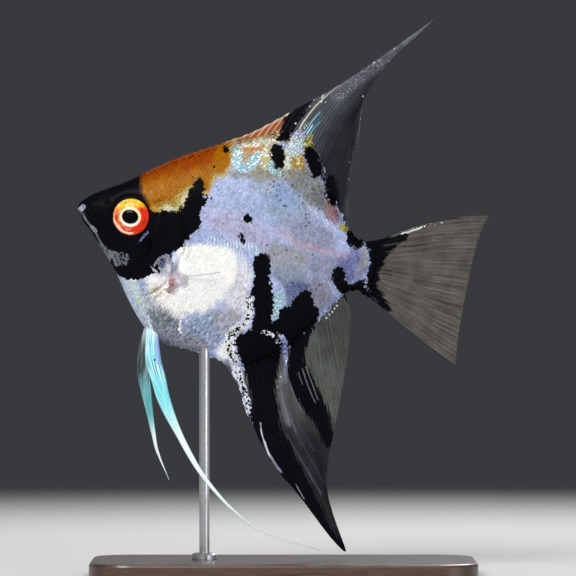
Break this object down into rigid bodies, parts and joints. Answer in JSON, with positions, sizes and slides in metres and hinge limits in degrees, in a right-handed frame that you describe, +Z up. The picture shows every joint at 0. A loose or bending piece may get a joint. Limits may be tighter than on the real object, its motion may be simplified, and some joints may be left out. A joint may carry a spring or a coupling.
{
  "type": "freshwater angelfish model",
  "caption": "Life-size still model of a koi-patterned freshwater angelfish with long trailing fins, held a little nose-up by a rod on a flat base.",
  "frame": {"origin": "centre of the stand base's underside, on the surface it stands on, below the middle of the fish's length", "axes": "+Z up; +X along the length of the base, from the fish's head to its tail; the fish's left side faces -Y"},
  "size_m": [0.1108, 0.054, 0.1502],
  "materials": {
    "skin": "pearly scaled skin in lilac and silver, with black blotches, a black face and an orange nape",
    "eye": "wet and glossy, with a red and yellow iris, a cream ring and a black pupil",
    "fin": "thin, smoky and half clear, with fine pale rays and black bands",
    "pelvic_fin": "pearly turquoise, paler towards the filament",
    "stand_wood": "dark stain under satin lacquer",
    "stand_metal": "satin, with fine turning marks"
  },
  "bodies": {
    "root": {"head": "skin", "upper_jaw": "skin", "lower_jaw": "skin", "gill_cover_left": "skin", "gill_cover_right": "skin", "trunk": "skin", "tail_root": "skin", "eye_left": "eye", "eye_right": "eye", "dorsal_fin_spines": "fin", "dorsal_fin_rays": "fin", "anal_fin_spines": "fin", "anal_fin_rays": "fin", "tail_fin": "fin", "pectoral_fin_left": "fin", "pectoral_fin_right": "fin", "pelvic_fin_left": "pelvic_fin", "pelvic_fin_right": "pelvic_fin", "stand_base": "stand_wood", "stand_rod": "stand_metal", "stand_collar": "stand_metal"}
  },
  "joints": []
}
